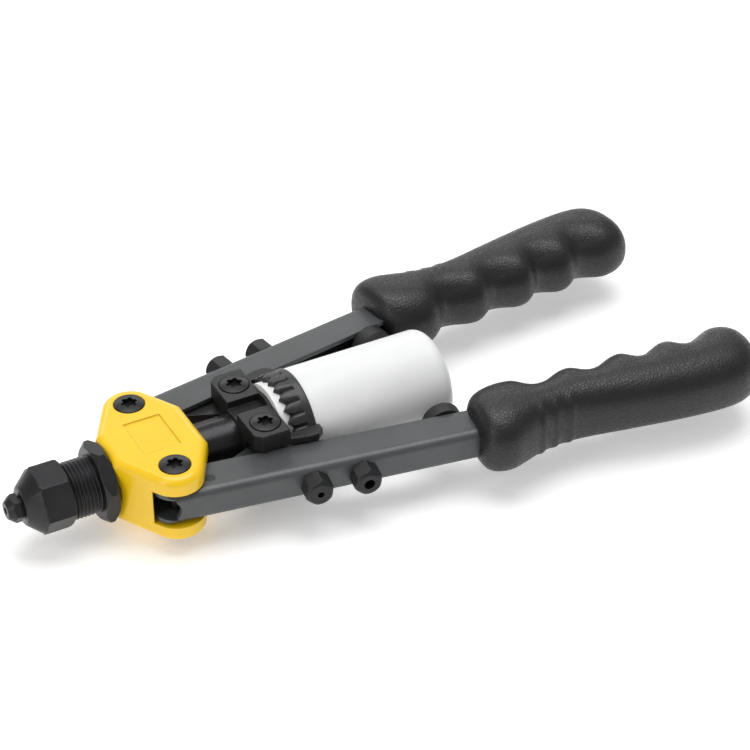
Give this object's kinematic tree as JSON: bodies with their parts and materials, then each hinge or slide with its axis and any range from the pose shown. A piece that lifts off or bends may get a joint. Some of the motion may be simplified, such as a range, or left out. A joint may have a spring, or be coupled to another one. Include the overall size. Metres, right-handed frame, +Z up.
{
  "type": "hand riveter",
  "caption": "Two-handed lever riveter: yellow fork head, hexagonal nose, two channel levers with moulded grips, links to a sliding yoke and a white mandrel bottle.",
  "frame": {"origin": "centre of the bounding box at its lowest level, under the tool's axis", "axes": "+X along the tool from the nose to the grips, +Y towards the far lever, +Z up, square to the plane of the levers"},
  "size_m": [0.2785, 0.128, 0.0386],
  "materials": {
    "yellow_paint": "gloss powder coat",
    "black_oxide": "black oxide, satin",
    "black_screw": "black oxide, satin",
    "yoke_black": "black painted casting",
    "tube_steel": "black oxide tube",
    "bright_steel": "ground steel",
    "lever_paint": "dark grey satin paint",
    "link_steel": "dark grey satin paint",
    "grip_vinyl": "leather grain vinyl",
    "bumper_rubber": "matt",
    "bottle_white": "translucent white",
    "collar_black": "satin black plastic"
  },
  "bodies": {
    "head": {"head_casting": "yellow_paint", "front_sleeve": "black_oxide", "lock_nut": "black_oxide", "nosepiece": "black_oxide", "head_pivot_screws": "black_screw", "head_pivot_nuts": "black_screw", "pivot_washers": "bright_steel"},
    "puller": {"yoke": "yoke_black", "puller_tube": "tube_steel", "jaw_housing": "tube_steel", "gripping_jaws": "bright_steel", "jaw_pusher": "bright_steel", "jaw_spring": "bright_steel", "link_screws": "black_screw", "mandrel_bottle": "bottle_white", "bottle_collar": "collar_black"},
    "far_lever": {"lever_far": "lever_paint", "grip_far": "grip_vinyl", "spare_nosepiece_front_far": "black_oxide", "spare_nosepiece_rear_far": "black_oxide", "link_pin_far": "link_steel", "bumper_far": "bumper_rubber"},
    "near_lever": {"lever_near": "lever_paint", "grip_near": "grip_vinyl", "spare_nosepiece_front_near": "black_oxide", "spare_nosepiece_rear_near": "black_oxide", "link_pin_near": "link_steel", "bumper_near": "bumper_rubber"},
    "far_link": {"link_far": "link_steel"},
    "near_link": {"link_near": "link_steel"}
  },
  "joints": [
    {"name": "far_lever_hinge", "type": "hinge", "parent": "head", "child": "far_lever", "pos_m": [-0.0833, 0.02, 0.0193], "axis": [0, 0, 1], "range_deg": [0, 50]},
    {"name": "near_lever_hinge", "type": "hinge", "parent": "head", "child": "near_lever", "pos_m": [-0.0833, -0.02, 0.0193], "axis": [0, 0, -1], "range_deg": [0, 50]},
    {"name": "puller_slide", "type": "slide", "parent": "head", "child": "puller", "axis": [-1, 0, 0], "range_m": [0, 0.01065]},
    {"name": "far_link_hinge", "type": "hinge", "parent": "puller", "child": "far_link", "pos_m": [-0.0451, 0.0129, 0.0193], "axis": [0, 0, -1], "range_deg": [0, 16.9]},
    {"name": "near_link_hinge", "type": "hinge", "parent": "puller", "child": "near_link", "pos_m": [-0.0451, -0.0129, 0.0193], "axis": [0, 0, 1], "range_deg": [0, 16.9]}
  ],
  "couplings": [
    {"joint": "near_lever_hinge", "follows": "far_lever_hinge", "ratio": 1},
    {"joint": "puller_slide", "follows": "far_lever_hinge", "m_per_rad": 0.01216},
    {"joint": "far_link_hinge", "follows": "far_lever_hinge", "ratio": 0.336},
    {"joint": "near_link_hinge", "follows": "far_lever_hinge", "ratio": 0.336}
  ]
}
